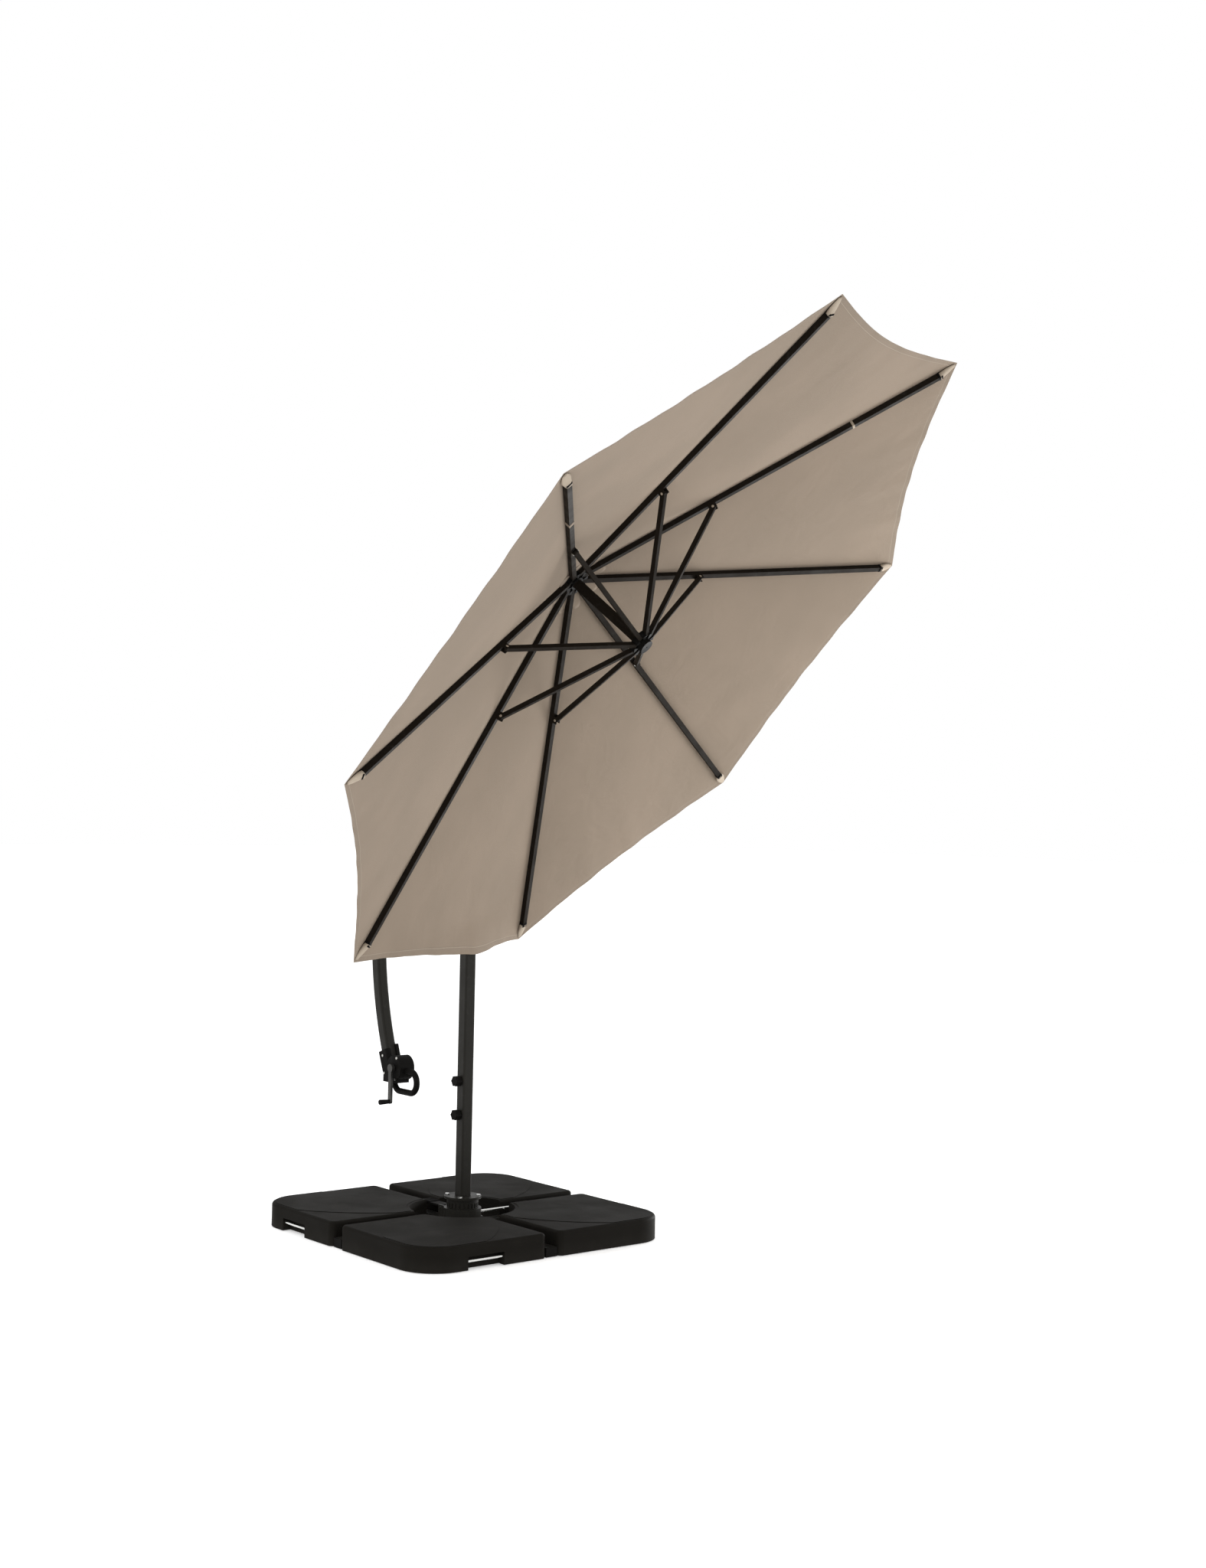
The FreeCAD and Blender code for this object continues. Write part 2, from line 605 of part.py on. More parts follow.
def swage_ring():
    """The step where the upper tube narrows, which rests on the lower tube's end."""
    inside = d["mast_side"] - 2 * d["mast_wall"] + 0.4
    hole = d["mast_side"] - 4 * d["mast_wall"] - 0.4
    ring = soften("ring_outside", block("ring_block", (inside, inside, 6), (0, 0, d["mast_joint"] + 3)),
                  d["mast_corner"] - d["mast_wall"], upright)
    return cut("swage_ring", ring, block("ring_hole", (hole, hole, 8), (0, 0, d["mast_joint"] + 3)))


def head_screw_holes(name):
    return [rod(f"{name}_screw_hole_{n}", 3, 30, (0, way * 30, d["mast_top"] - 45), Vector(0, -way, 0))
            for n, way in enumerate((1, -1))]


def mast_head():
    """The casting on top of the mast that the boom slides through, with its screws."""
    gap = 2 * d["slide_gap"]
    sleeve = feature("head_sleeve", arc_bar(d["boom_deep"] + 16, d["boom_wide"] + 14, 10,
                                            d["head_angle"] - 3.6, d["head_angle"] + 3.6))
    socket_base = float(d["mast_top"]) - 70
    neck = block("head_neck", (d["mast_side"] + 12, d["mast_side"] + 12, 150), (0, 0, socket_base + 75))
    neck = soften("head_neck_round", neck, 9, upright)
    under = feature("head_under", arc_bar(d["boom_deep"] * 6, 80, 0, d["head_angle"] - 6,
                                          d["head_angle"] + 6).translated(
        (arc_centre - on_arc(d["head_angle"])).normalize() * 100))
    neck = common("head_neck_cut", neck, under)
    channel = feature("head_channel", arc_bar(d["boom_deep"] + gap, d["boom_wide"] + gap,
                                              d["boom_corner"] + d["slide_gap"],
                                              d["head_angle"] - 6, d["head_angle"] + 6))
    bore = block("head_bore", (d["mast_side"] + 0.2, d["mast_side"] + 0.2, 80), (0, 0, d["mast_top"] - 39.9))
    head_at = on_arc(d["head_angle"])
    stud_hole = rod("head_stud_hole", 5.2, 40, (head_at.x, -40, head_at.z), Y)
    head = cut("head", fuse("head_solid", sleeve, neck), channel, bore, stud_hole, *head_screw_holes("head"))
    sub_part("mast_head", head)
    screws = []
    for n, way in enumerate((1, -1)):
        face = float(d["mast_side"]) / 2 + 6
        start = (0, way * (face - 9), d["mast_top"] - 45)
        shank = rod(f"head_shank_{n}", 2.9, 9.5, start, Vector(0, way, 0))
        cap = rod(f"head_cap_{n}", 6.5, 4, (0, way * face, d["mast_top"] - 45), Vector(0, way, 0))
        screws.append(fuse(f"head_screw_{n}", shank, cap))
    return screws


def star_knob(name, radius, thick, stud_radius, stud_length, at):
    """A lobed hand knob on a threaded stud. Its face looks along -Y, and the stud points along +Y."""
    lobes = 6
    core = rod(f"{name}_core", radius * 0.86, thick, (0, 0, 0))
    bumps = []
    for n in range(lobes):
        a = 2 * math.pi / lobes * n
        out = float(radius) * 0.74
        bumps.append(rod(f"{name}_lobe_{n}", radius * 0.26, thick, (out * math.cos(a), out * math.sin(a), 0)))
    collar = rod(f"{name}_collar", radius * 0.5, 4, (0, 0, -3))
    stud = rod(f"{name}_stud", stud_radius, stud_length, (0, 0, -float(stud_length)))
    grip = soften(f"{name}_grip", fuse(f"{name}_lobed", core, *bumps), 1.5,
                  lambda e: e.BoundBox.ZMin > float(thick) - 0.1)
    knob = fuse(f"{name}_solid", grip, collar, stud)
    turn = Placement(Vector(*(float(v) for v in at)), Rotation(Z, -Y))
    return sub_part(name, knob, turn)


def mast():
    bolts = mast_foot()
    mast_tubes()
    screws = mast_head()
    sub_part("mast_fasteners", group("mast_fastener_set", *bolts, *screws))
    face = -float(d["mast_side"]) / 2
    for name, rise in (("mast_knob_lower", d["knob_low"]), ("mast_knob_upper", d["knob_high"])):
        star_knob(name, d["knob_radius"], d["knob_thick"], 4, 5.6, (0, face - 3.5, rise))
    side = -(float(d["boom_wide"]) + 14) / 2
    head_at = on_arc(d["head_angle"])
    star_knob("head_lock_knob", d["head_knob_radius"], 24, 5, 10, (head_at.x, side - 3.5, head_at.z))


# ---- boom ----------------------------------------------------------------------------------------
def boom():
    wall = 2 * d["boom_wall"]
    outside = arc_bar(d["boom_deep"], d["boom_wide"], d["boom_corner"], d["tip_angle"], d["tail_angle"])
    inside = arc_bar(d["boom_deep"] - wall, d["boom_wide"] - wall, d["boom_corner"] - d["boom_wall"],
                     d["tip_angle"] - 1, d["tail_angle"] + 1)
    holes = [rod(f"boom_screw_hole_{n}", 2.2, 60, (at.x, -30, at.z), Y) for n, at in enumerate(shell_screws()[:1])]
    sub_part("boom_tube", cut("boom_drilled", feature("boom_bent", outside.cut(inside)), *holes))


def tip_knuckle():
    """The casting on the boom's end: a sleeve, an elbow and the round pin that the hanger turns on."""
    tip = d["tip_angle"]
    sleeve = feature("tip_sleeve", arc_bar(d["boom_deep"] + 12, d["boom_wide"] + 12, 10, tip - 0.4, tip + 3.4))
    socket = feature("tip_socket", arc_bar(d["boom_deep"] + 0.2, d["boom_wide"] + 0.2, d["boom_corner"],
                                           tip, tip + 5))
    boom_end = on_arc(tip)
    elbow_length = d["boom_to_axis"] - d["barrel_half"] - 1
    elbow = rod("tip_elbow", d["barrel_radius"], elbow_length, boom_end, tilt_axis)
    ball = doc.addObject("Part::Sphere", "tip_ball")
    put(bind(ball, Radius=d["barrel_radius"]), boom_end)
    pin_start = tilt_centre - tilt_axis * (float(d["barrel_half"]) + 2)
    pin = rod("tip_pin", d["pin_radius"], 2 * d["barrel_half"] + 3, pin_start, tilt_axis)
    bolt_hole = rod("tip_bolt_hole", 4, 30, tilt_centre + tilt_axis * (float(d["barrel_half"]) - 24), tilt_axis)
    solid = cut("tip_hollow", fuse("tip_outside", sleeve, elbow, ball), socket)
    sub_part("tip_knuckle", cut("tip", fuse("tip_solid", solid, pin), bolt_hole))


def shell_screws():
    """Middles of the four screws that hold the winch housing's halves together."""
    drum = Vector(float(d["drum_out"]), 0, float(d["drum_rise"]))
    reach = float(d["drum_cover"]) - 2.5
    around = [drum + Vector(math.cos(a), 0, math.sin(a)) * reach for a in map(math.radians, (62, -75))]
    return [on_arc(201.9)] + around + [Vector(-455, 0, 488)]


def winch_housing():
    """Two moulded halves round the boom's lower end and the winch, with a slot where the tube shows."""
    cover, half = float(d["drum_cover"]), float(d["cover_half"])
    drum = Vector(float(d["drum_out"]), -half, float(d["drum_rise"]))
    body = arc_bar(d["boom_deep"] + 12, 2 * half, 9, 200.3, 206)
    body = body.fuse(Part.makeCylinder(cover, 2 * half, drum, Y))
    foot = Part.makeBox(76, 2 * half, 42, Vector(-462, -half, 458))
    body = body.fuse(foot).removeSplitter()
    tube = arc_bar(d["boom_deep"] + 0.6, d["boom_wide"] + 0.6, d["boom_corner"], 190, 204.4)
    well = Part.makeCylinder(cover - 5, 2 * half - 8, drum + Vector(0, 4, 0), Y)
    shaft = Part.makeCylinder(6 + float(d["running_gap"]), 2 * half + 20, drum - Y * 10, Y)
    slot = arc_bar(20, 24, 0, 199.8, 202.4)
    slot.translate((arc_centre - on_arc(201)).normalize() * 28)
    hollow = tube.fuse([well, shaft, slot])
    for at in shell_screws():
        hollow = hollow.fuse(Part.makeCylinder(2.2, 2 * half, at - Y * half, Y))
    hollow = hollow.fuse(loop_handle_shape(11.1))
    shell = body.cut(hollow)
    room = Part.makeBox(400, 60, 400, Vector(-700, -60, 300))
    right = shell.common(room.translated(Vector(0, 60, 0)))
    trim = arc_bar(d["boom_deep"] + 60, 80, 0, 199.4, 201)
    left = shell.common(room).cut(trim)
    sub_part("housing_left", feature("housing_left_half", left))
    sub_part("housing_right", feature("housing_right_half", right))
    screws = []
    for n, at in enumerate(shell_screws()):
        length = 20 if n else 11
        head = rod(f"shell_head_{n}", 4.5, 2.5, (at.x, -half, at.z), -Y)
        screws.append(fuse(f"shell_screw_{n}", head, rod(f"shell_shank_{n}", 2.1, length, (at.x, -half, at.z), Y)))
    sub_part("housing_screws", group("housing_screw_set", *screws))


def loop_handle_shape(radius):
    """A closed oval of round bar under the housing. Its two ends stop at the wall round the winch."""
    bend, straight = 38, 67
    middle = Vector(-364, 0, 466)
    bar = None
    for way in (1, -1):
        centre = middle + X * (way * straight / 2)
        half = Part.makeBox(100, 100, 200, centre + Vector(0 if way > 0 else -100, -50, -100))
        ring = Part.makeTorus(bend, radius, centre, Y).common(half)
        rail = Part.makeCylinder(radius, straight, middle + Vector(-straight / 2, 0, way * bend), X)
        bar = ring.fuse(rail) if bar is None else bar.fuse([ring, rail])
    drum = Vector(float(d["drum_out"]), -50, float(d["drum_rise"]))
    well = Part.makeCylinder(float(d["drum_cover"]) - 5, 100, drum, Y)
    return bar.cut(well).removeSplitter()


def loop_handle():
    sub_part("loop_handle", feature("loop", loop_handle_shape(11)))


def winch():
    """The drum with its shaft, the crank arm and the free turning peg."""
    half = float(d["cover_half"])
    out, rise = d["drum_out"], d["drum_rise"]
    barrel = rod("drum_barrel", d["drum_radius"], 30, (out, -15, rise), Y)
    rims = [rod(f"drum_rim_{n}", 27, 3, (out, y, rise), Y) for n, y in enumerate((-18, 15))]
    shaft = rod("drum_shaft", 6, 2 * half + 17, (out, -half - 17, rise), Y)
    sub_part("winch_drum", fuse("drum", barrel, shaft, *rims))
    arm_y, thick, width = -half - 16, 9, 17
    plate = block("arm_plate", (width, thick, d["crank_length"]), (out, arm_y + thick / 2, rise - d["crank_length"] / 2))
    ends = [rod("arm_top", 15, thick + 4, (out, arm_y, rise), Y),
            rod("arm_bottom", width / 2, thick, (out, arm_y, rise - d["crank_length"]), Y)]
    spindle = rod("peg_spindle", 3, d["peg_length"] - 4, (out, arm_y, rise - d["crank_length"]), -Y)
    hole = rod("arm_hole", 6.05, 30, (out, arm_y + 1, rise), Y)
    sub_part("crank_arm", cut("arm", fuse("arm_solid", plate, spindle, *ends), hole))
    sub_part("crank_peg", crank_peg(out, arm_y - 0.5, rise - d["crank_length"]))
    shorten = doc.getObject("drum_shaft")
    bind(shorten, Height=2 * half + 15)
    put(shorten, (out, -half - 15, rise), Rotation(Z, Y))


def crank_peg(out, start, rise):
    grip = doc.addObject("Part::Cone", "peg_grip")
    bind(grip, Radius1=7.5, Radius2=9.5, Height=d["peg_length"])
    put(grip, (out, start, rise), Rotation(Z, -Y))
    round_grip = soften("peg_round", grip, 2.5, lambda e: e.BoundBox.YMax < start - float(d["peg_length"]) + 1)
    bore = rod("peg_bore", 3 + float(d["running_gap"]), d["peg_length"] - 3, (out, start + 0.5, rise), -Y)
    return cut("peg", round_grip, bore)


def lift_cord():
    """The cord inside the boom, from the winch drum to the knuckle."""
    radius = 2.0
    end_angle = 203.2
    face = Part.Face(Part.Wire(Part.makeCircle(radius, Vector(float(d["arc_radius"]), 0, 0), Z)))
    face.translate(arc_centre)
    face.rotate(arc_centre, Y, -(float(d["tip_angle"]) + 1.2))
    run = face.revolve(arc_centre, -Y, end_angle - float(d["tip_angle"]) - 1.2)
    end = on_arc(end_angle)
    drum_top = Vector(float(d["drum_out"]) - 12, 0, float(d["drum_rise"]) - float(d["drum_radius"]) - 1.5)
    lead = Part.makeCylinder(radius, (drum_top - end).Length, end, drum_top - end)
    joint = Part.makeSphere(radius, end)
    sub_part("lift_cord", feature("cord", run.fuse([lead, joint])))


# ---- canopy --------------------------------------------------------------------------------------
def hanger():
    """Turns on the knuckle's pin and carries the crown, with the bolt that keeps it on the pin."""
    half = d["barrel_half"]
    along = canopy.inverse().Rotation.multVec(tilt_axis)
    centre = Vector(0, 0, float(d["hang_drop"]))
    start = centre - along * float(half)
    barrel = rod("barrel", d["barrel_radius"], 2 * half, start, along)
    bore = rod("barrel_bore", d["pin_radius"] + d["running_gap"], 2 * half + 20, start - along * 10, along)
    top = d["hub_half"] + 1
    neck = rod("hanger_neck", 15, d["hang_drop"] - top, (0, 0, top))
    plate = rod("hanger_plate", 30, 6, (0, 0, top))
    sub_part("hanger", cut("hanger_cut", fuse("hanger_solid", barrel, neck, plate), bore), canopy)
    end = tilt_centre + tilt_axis * (float(half) + 1)
    washer = rod("tilt_washer", 20, 4, end, tilt_axis)
    head = fuse("tilt_bolt", washer, rod("tilt_shank", 3.95, 22, end, -tilt_axis),
                rod("tilt_head", 8, 5, end + tilt_axis * 4, tilt_axis))
    sub_part("tilt_retainer", head)


def hub(name, radius, slot, bore, pins):
    """A slotted hub about the canopy's axis: crown or runner."""
    half, ring, count = d["hub_half"], d["pivot_ring"], int(d["rib_count"])
    disc = rod(f"{name}_disc", radius, 2 * half, (0, 0, -half))
    slots, rods = [], []
    for n in range(count):
        turn = Placement(Vector(), Rotation(Z, 360 / count * n))
        gap = block(f"{name}_slot_{n}", (60, slot, 40), (d["core_radius"] + 30, 0, 0))
        slots.append(copy(f"{name}_slot_at_{n}", gap, turn))
        if pins:
            pin = rod(f"{name}_pin_{n}", d["joint_pin"], slot + 4, (ring, -(slot / 2) - 2, 0), Y)
            rods.append(copy(f"{name}_pin_at_{n}", pin, turn))
    body = cut(f"{name}_slotted", disc, rod(f"{name}_bore", bore, 60, (0, 0, -30)), *slots)
    return fuse(f"{name}_pinned", body, *rods) if pins else body


def crown_and_runner():
    crown = hub("crown", d["crown_radius"], d["rib_wide"] + 0.6, d["tube_radius"] + 0.1, True)
    cap = rod("crown_cap", d["crown_radius"] - 4, 1, (0, 0, d["hub_half"]))
    sub_part("crown", fuse("crown_solid", crown, cap), canopy)
    low = canopy * Placement(Vector(0, 0, -runner_drop), Rotation())
    body = hub("runner", d["runner_radius"], d["strut_wide"] + 0.8, d["tube_radius"] + 0.05, False)
    nose = rod("runner_nose", d["core_radius"], 14, (0, 0, -d["hub_half"] - 14))
    solid = cut("runner_hollow", fuse("runner_solid", body, nose), rod("runner_cord_hole", 2.5, 60, (0, 0, -30)))
    sub_part("runner", solid, low)
    length = runner_drop - 4 + float(d["hub_half"])
    outside = rod("tube_outside", d["tube_radius"], length, (0, 0, -float(d["hub_half"])))
    inside = rod("tube_inside", d["tube_bore"], length + 2, (0, 0, -float(d["hub_half"]) - 1))
    sub_part("runner_tube", cut("tube", outside, inside), low)


def rib_template():
    """A rib about its pivot: a channel with a round end, closed on top, and two ears for its strut."""
    wide, deep, wall, length = d["rib_wide"], d["rib_deep"], d["rib_wall"], d["rib_length"]
    outside = block("rib_outside", (length, wide, deep), (length / 2, 0, 0))
    eye = rod("rib_eye", deep / 2, wide, (0, -(wide / 2), 0), Y)
    hollow = block("rib_hollow", (length, wide - 2 * wall, deep - 2 * wall), (length / 2 + 30, 0, 0))
    ear_height = d["joint_drop"] + 7 - deep / 2
    ears = []
    for n, way in enumerate((1, -1)):
        y = way * (wide / 2 - 0.8)
        ears.append(block(f"ear_plate_{n}", (26, 1.6, ear_height),
                          (joint_along, y, -(deep / 2) - ear_height / 2)))
    solid = fuse("rib_solid", outside, eye, *ears)
    crown_hole = rod("rib_crown_hole", d["joint_pin"] + d["running_gap"], 40, (0, -20, 0), Y)
    strut_hole = rod("rib_strut_hole", d["joint_pin"] + d["running_gap"], 40, (joint_along, -20, -d["joint_drop"]), Y)
    return cut("rib", solid, hollow, crown_hole, strut_hole)


def strut_template():
    """A strut about its joint with the rib, with that joint's rivet."""
    wide, deep, length = d["strut_wide"], d["strut_deep"], d["strut_length"]
    bar = block("strut_bar", (length, wide, deep), (length / 2, 0, 0))
    eyes = [rod(f"strut_eye_{n}", deep / 2, wide, (x, -(wide / 2), 0), Y) for n, x in enumerate((0, length))]
    hollow = block("strut_hollow", (length - 40, wide - 3, deep - 3), (length / 2, 0, 0))
    half = d["rib_wide"] / 2
    rivet = rod("rivet", d["joint_pin"], 2 * half + 1, (0, -half - 0.5, 0), Y)
    heads = [rod(f"rivet_head_{n}", 4.5, 1.5, (0, way * (half + 0.3), 0), Vector(0, way, 0))
             for n, way in enumerate((1, -1))]
    solid = fuse("strut_solid", cut("strut_tube", fuse("strut_ends", bar, *eyes), hollow), rivet, *heads)
    hole = rod("strut_runner_hole", d["joint_pin"], 30, (length, -15, 0), Y)
    return cut("strut", solid, hole)


def gore_panel():
    """The fabric over one rib, out to the middle of the gores beside it, about the canopy's axis."""
    slope = math.tan(math.radians(float(d["rib_slope"])))
    half = math.radians(180 / float(d["rib_count"]))
    tip_radius = float(d["canopy_radius"])

    def over_rib(radius):
        return Vector(radius, 0, float(d["fabric_rise"]) - (radius - float(d["pivot_ring"])) * slope)

    def mid_gore(radius, way):
        """On the flat gore, where its middle line is this far from the axis."""
        rib = over_rib(radius / math.cos(half))
        edge_gap = 0.2
        side = Vector(math.cos(half), way * math.sin(half), 0) * radius
        return Vector(side.x, side.y, rib.z) - Vector(-math.sin(half), way * math.cos(half), 0) * way * edge_gap

    opening = float(d["fabric_opening"])
    tip = over_rib(tip_radius)
    hem_radius = tip_radius * math.cos(half) - float(d["hem_sag"])
    halves = []
    for way in (1, -1):
        inner, outer = over_rib(opening), mid_gore(hem_radius, way)
        inner_mid = mid_gore(opening * math.cos(half), way)
        chord = (tip + outer) / 2
        bow = (over_rib(opening) - chord).normalize() * float(d["hem_sag"]) * 0.25
        hem = Part.Arc(tip, chord + project(bow, inner, tip, outer), outer).toShape()
        edges = [Part.makeLine(inner, tip), hem, Part.makeLine(outer, inner_mid), Part.makeLine(inner_mid, inner)]
        halves.append(Part.Face(Part.Wire(edges)).extrude(Vector(0, 0, float(d["fabric_thick"]))))
    return feature("gore", halves[0].fuse(halves[1]))


def project(move, a, b, c):
    """The part of a move that lies in the plane of three points."""
    normal = (b - a).cross(c - a).normalize()
    return move - normal * move.dot(normal)


def canopy_frame():
    rib, strut, panel = rib_template(), strut_template(), gore_panel()
    room = d["mast_side"] + 2 * d["hem_clearance"]
    mast_room = block("mast_room", (room, room, d["mast_top"]), (0, 0, d["mast_top"] / 2))
    for n in range(int(d["rib_count"])):
        turn = canopy * Placement(Vector(), Rotation(Z, 360 / float(d["rib_count"]) * n))
        sub_part(f"rib_{n + 1}", copy(f"rib_at_{n + 1}", rib, rib_frame(n)))
        sub_part(f"strut_{n + 1}", copy(f"strut_at_{n + 1}", strut, strut_frame(n)))
        gore = copy(f"panel_at_{n + 1}", panel, turn)
        if n + 1 == int(d["mast_panel"]):
            gore = cut("panel_by_mast", gore, mast_room)
        sub_part(f"canopy_panel_{n + 1}", gore)


# ---- build, check and write ----------------------------------------------------------------------
cross_bars()
base_plates()
base_hardware()
foot_pedal()
swivel_lock_rod()
mast()
boom()
tip_knuckle()
winch_housing()
loop_handle()
winch()
lift_cord()
hanger()
crown_and_runner()
canopy_frame()
doc.recompute()

failed = [o.Name for o in doc.Objects if {"Invalid", "Error"} & set(o.State)]
empty = [o.Label for o in sub_parts if o.Shape.isNull() or not o.Shape.isValid() or not o.Shape.Solids]
if failed or empty:
    raise SystemExit(f"failed objects: {failed}, bad sub-parts: {empty}")

os.makedirs("parts", exist_ok=True)
for obj in sub_parts:
    obj.Shape.exportStep(f"parts/{obj.Label}.step")
print(len(sub_parts), "sub-parts written")
for name, value in (
    ("tilt centre", tilt_centre),
    ("tilt axis", tilt_axis),
    ("canopy origin", canopy.Base),
    ("shaft direction", canopy.Rotation.multVec(Z)),
    ("head", on_arc(d["head_angle"])),
):
    print(name, [round(v, 4) for v in value])
print("runner drop", round(runner_drop, 3), "joint slope", round(joint_slope, 3))
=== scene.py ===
import json
import math

import bpy
from mathutils import Matrix, Vector


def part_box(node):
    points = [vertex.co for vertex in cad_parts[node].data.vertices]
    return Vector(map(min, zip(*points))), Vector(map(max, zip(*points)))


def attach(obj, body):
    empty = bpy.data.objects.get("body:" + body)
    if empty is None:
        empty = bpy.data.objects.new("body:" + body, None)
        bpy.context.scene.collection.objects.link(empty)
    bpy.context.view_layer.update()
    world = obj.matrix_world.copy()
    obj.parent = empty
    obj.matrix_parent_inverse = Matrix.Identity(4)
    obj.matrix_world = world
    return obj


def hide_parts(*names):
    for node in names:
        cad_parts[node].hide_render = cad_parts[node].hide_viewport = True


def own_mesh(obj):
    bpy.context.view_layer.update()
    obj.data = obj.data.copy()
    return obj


# Looks for the cantilever patio umbrella: the camera, a white studio, the canopy's fabric and the
# finish of every part. Metres, +Z up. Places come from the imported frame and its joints.

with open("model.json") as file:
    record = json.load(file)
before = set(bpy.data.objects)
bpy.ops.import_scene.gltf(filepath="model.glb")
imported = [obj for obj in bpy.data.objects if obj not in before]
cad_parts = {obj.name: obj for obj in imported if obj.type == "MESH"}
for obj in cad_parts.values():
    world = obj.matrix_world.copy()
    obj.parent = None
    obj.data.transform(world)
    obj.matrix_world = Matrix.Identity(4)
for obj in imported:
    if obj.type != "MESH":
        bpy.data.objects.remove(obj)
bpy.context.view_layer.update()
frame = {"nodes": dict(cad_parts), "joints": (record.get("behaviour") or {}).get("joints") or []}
nodes = frame["nodes"]
joints = {joint["name"]: joint for joint in frame["joints"]}

RIBS = 8
HALF_GORE = math.pi / RIBS
PIVOT_RING = 0.034  # from the shaft to a rib's pivot
RIB_SLOPE = math.tan(math.radians(17.2))
RIB_LENGTH = 1.315
RIB_HALF_WIDTH, RIB_HALF_DEPTH = 0.009, 0.009
FABRIC_RISE = 0.0116  # underside of the cloth above a rib's centreline
FABRIC_THICK = 0.0006
CORNER_RADIUS = 1.358  # from the shaft to a corner of the canopy
OPENING_RADIUS = 0.052
# How far the hem curves in between two corners, gore by gore from the one after rib 1. The cloth is
# slacker at the top, and drawn tight over the mast between ribs 5 and 6.
HEM_SAGS = (0.048, 0.042, 0.024, 0.024, 0.008, 0.040, 0.018, 0.030)
MAST_ANGLE = math.radians(196.4)  # round the shaft from rib 1 to the mast's near corner
MAST_CLEARANCE = 0.012
GORE_SAG = 0.016  # how far the cloth dips between two ribs
HEM_WIDTH = 0.022
THREAD_PITCH = 0.0016
STITCH_PITCH = 0.006


# ---- the canopy's frame --------------------------------------------------------------------------
def canopy_frame():
    """Origin amid the rib pivots, z up the shaft and x along rib 1."""
    up = -Vector(joints["runner_slide"]["axis"]).normalized()
    across = Vector(joints["rib_1_fold"]["axis"]).normalized()
    out = across.cross(up).normalized()
    origin = Vector(joints["rib_1_fold"]["pos_m"]) - out * PIVOT_RING
    return Matrix.Translation(origin) @ Matrix((out, across, up)).transposed().to_4x4()


CANOPY = canopy_frame()


def rib_turn(n):
    return CANOPY @ Matrix.Rotation(2 * math.pi / RIBS * n, 4, "Z")


def rib_frame(n):
    """Origin on a rib's pivot, x along the rib."""
    out = Matrix.Translation((PIVOT_RING, 0, 0))
    return rib_turn(n) @ out @ Matrix.Rotation(math.atan(RIB_SLOPE), 4, "Y")


# ---- meshes --------------------------------------------------------------------------------------
def piece(name, points, faces, material, place=Matrix(), smooth=True):
    """A mesh object from points in its own frame, in the row frame after place."""
    mesh = bpy.data.meshes.new(name)
    mesh.from_pydata([tuple(place @ Vector(p)) for p in points], [], faces)
    mesh.update()
    for face in mesh.polygons:
        face.use_smooth = smooth
    obj = bpy.data.objects.new(name, mesh)
    bpy.context.scene.collection.objects.link(obj)
    mesh.materials.append(material)
    return obj


def bevel(obj, width, segments=3):
    step = obj.modifiers.new("bevel", "BEVEL")
    step.width = width
    step.segments = segments
    step.limit_method = "ANGLE"
    return obj


def box_piece(name, low, high, material, place, round_edge=0.001):
    xs, ys, zs = zip(low, high)
    points = [(x, y, z) for x in xs for y in ys for z in zs]
    faces = [(0, 1, 3, 2), (4, 6, 7, 5), (0, 4, 5, 1), (2, 3, 7, 6), (0, 2, 6, 4), (1, 5, 7, 3)]
    return bevel(piece(name, points, faces, material, place), round_edge)


# ---- materials -----------------------------------------------------------------------------------
class Nodes:
    """A material's node tree, with short calls for the few kinds of node used here."""

    def __init__(self, name):
        self.material = bpy.data.materials.new(name)
        self.material.use_nodes = True
        self.tree = self.material.node_tree
        self.shader = self.tree.nodes["Principled BSDF"]

    def add(self, kind, **inputs):
        node = self.tree.nodes.new(kind)
        for key, value in inputs.items():
            self.feed(node, key.replace("_", " "), value)
        return node

    def feed(self, node, key, value):
        if isinstance(value, bpy.types.NodeSocket):
            self.tree.links.new(value, node.inputs[key])
        else:
            node.inputs[key].default_value = value

    def noise(self, scale, detail=4.0, vector=None):
        node = self.add("ShaderNodeTexNoise", Scale=scale, Detail=detail)
        if vector is None:
            vector = self.add("ShaderNodeTexCoord").outputs["Object"]
        self.feed(node, "Vector", vector)
        return node.outputs["Fac"]

    def math(self, operation, a, b=0.0):
        node = self.tree.nodes.new("ShaderNodeMath")
        node.operation = operation
        self.feed(node, 0, a)
        self.feed(node, 1, b)
        return node.outputs[0]

    def ramp(self, value, low, high, to_low=0.0, to_high=1.0):
        node = self.tree.nodes.new("ShaderNodeMapRange")
        node.interpolation_type = "SMOOTHSTEP"
        for key, item in (("Value", value), ("From Min", low), ("From Max", high)):
            self.feed(node, key, item)
        self.feed(node, "To Min", to_low)
        self.feed(node, "To Max", to_high)
        return node.outputs["Result"]

    def mix(self, share, a, b):
        node = self.tree.nodes.new("ShaderNodeMix")
        node.data_type = "RGBA"
        self.feed(node, 0, share)
        self.feed(node, 6, a)
        self.feed(node, 7, b)
        return node.outputs[2]

    def bump(self, height, distance, strength=1.0, under=None):
        node = self.add("ShaderNodeBump", Strength=strength, Distance=distance, Height=height)
        if under is not None:
            self.feed(node, "Normal", under)
        return node.outputs["Normal"]


def rgb(red, green, blue):
    return (red, green, blue, 1.0)


